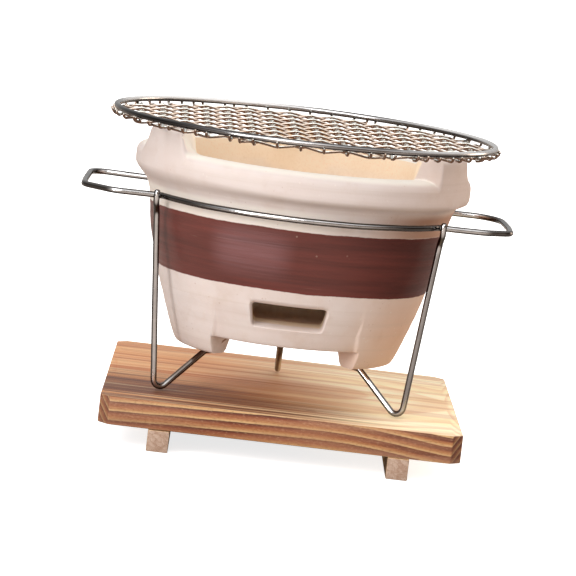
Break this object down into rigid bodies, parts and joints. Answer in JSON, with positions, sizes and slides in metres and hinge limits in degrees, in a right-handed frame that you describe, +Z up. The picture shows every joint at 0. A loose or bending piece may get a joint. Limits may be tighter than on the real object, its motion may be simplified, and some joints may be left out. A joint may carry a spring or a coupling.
{
  "type": "hibachi grill",
  "caption": "Round clay table hibachi: fire bowl with air vent, charcoal grate and woven cooking grill, in a three-legged wire stand with handle loops, on a wooden base board.",
  "frame": {"origin": "the middle of the bottom of the whole object's box, on the surface the base strips rest on; the bowl's vertical axis stands at x = 0.0009, y = -0.00995", "axes": "+Z up out of the fire bowl, -Y towards the front with the air vent, +X to the right seen from the front"},
  "size_m": [0.21, 0.211, 0.1587],
  "materials": {
    "fired_clay": "matte fired clay with a painted brown band",
    "grate_clay": "rough unglazed clay",
    "plated_wire": "bright plated wire",
    "net_wire": "bright plated fine wire",
    "board_wood": "planed, lightly scorched softwood",
    "strip_wood": "sawn softwood",
    "nail_steel": "plain wire nail"
  },
  "bodies": {
    "base": {"base_board": "board_wood", "base_strip_left": "strip_wood", "base_strip_right": "strip_wood", "nail_left_front": "nail_steel", "nail_left_rear": "nail_steel", "nail_right_front": "nail_steel", "nail_right_rear": "nail_steel"},
    "stand": {"stand_hoop": "plated_wire", "leg_front_left": "plated_wire", "leg_front_right": "plated_wire", "leg_rear": "plated_wire"},
    "bowl": {"fire_bowl": "fired_clay"},
    "grate": {"charcoal_grate": "grate_clay"},
    "grill": {"grill_rim_ring": "plated_wire", "net_cross_01": "net_wire", "net_cross_02": "net_wire", "net_cross_03": "net_wire", "net_cross_04": "net_wire", "net_cross_05": "net_wire", "net_cross_06": "net_wire", "net_cross_07": "net_wire", "net_cross_08": "net_wire", "net_cross_09": "net_wire", "net_cross_10": "net_wire", "net_cross_11": "net_wire", "net_cross_12": "net_wire", "net_cross_13": "net_wire", "net_cross_14": "net_wire", "net_cross_15": "net_wire", "net_cross_16": "net_wire", "net_cross_17": "net_wire", "net_long_01": "net_wire", "net_long_02": "net_wire", "net_long_03": "net_wire", "net_long_04": "net_wire", "net_long_05": "net_wire", "net_long_06": "net_wire", "net_long_07": "net_wire", "net_long_08": "net_wire", "net_long_09": "net_wire", "net_long_10": "net_wire", "net_long_11": "net_wire", "net_long_12": "net_wire", "net_long_13": "net_wire", "net_long_14": "net_wire", "net_long_15": "net_wire", "net_long_16": "net_wire"}
  },
  "joints": [
    {"name": "stand_lift", "type": "slide", "parent": "base", "child": "stand", "axis": [0, 0, 1], "range_m": [0, 0.12]},
    {"name": "bowl_lift", "type": "slide", "parent": "stand", "child": "bowl", "axis": [0, 0, 1], "range_m": [0, 0.12]},
    {"name": "grate_lift", "type": "slide", "parent": "bowl", "child": "grate", "axis": [0, 0, 1], "range_m": [0, 0.055]},
    {"name": "grill_lift", "type": "slide", "parent": "bowl", "child": "grill", "axis": [0, 0, 1], "range_m": [0, 0.08]}
  ]
}
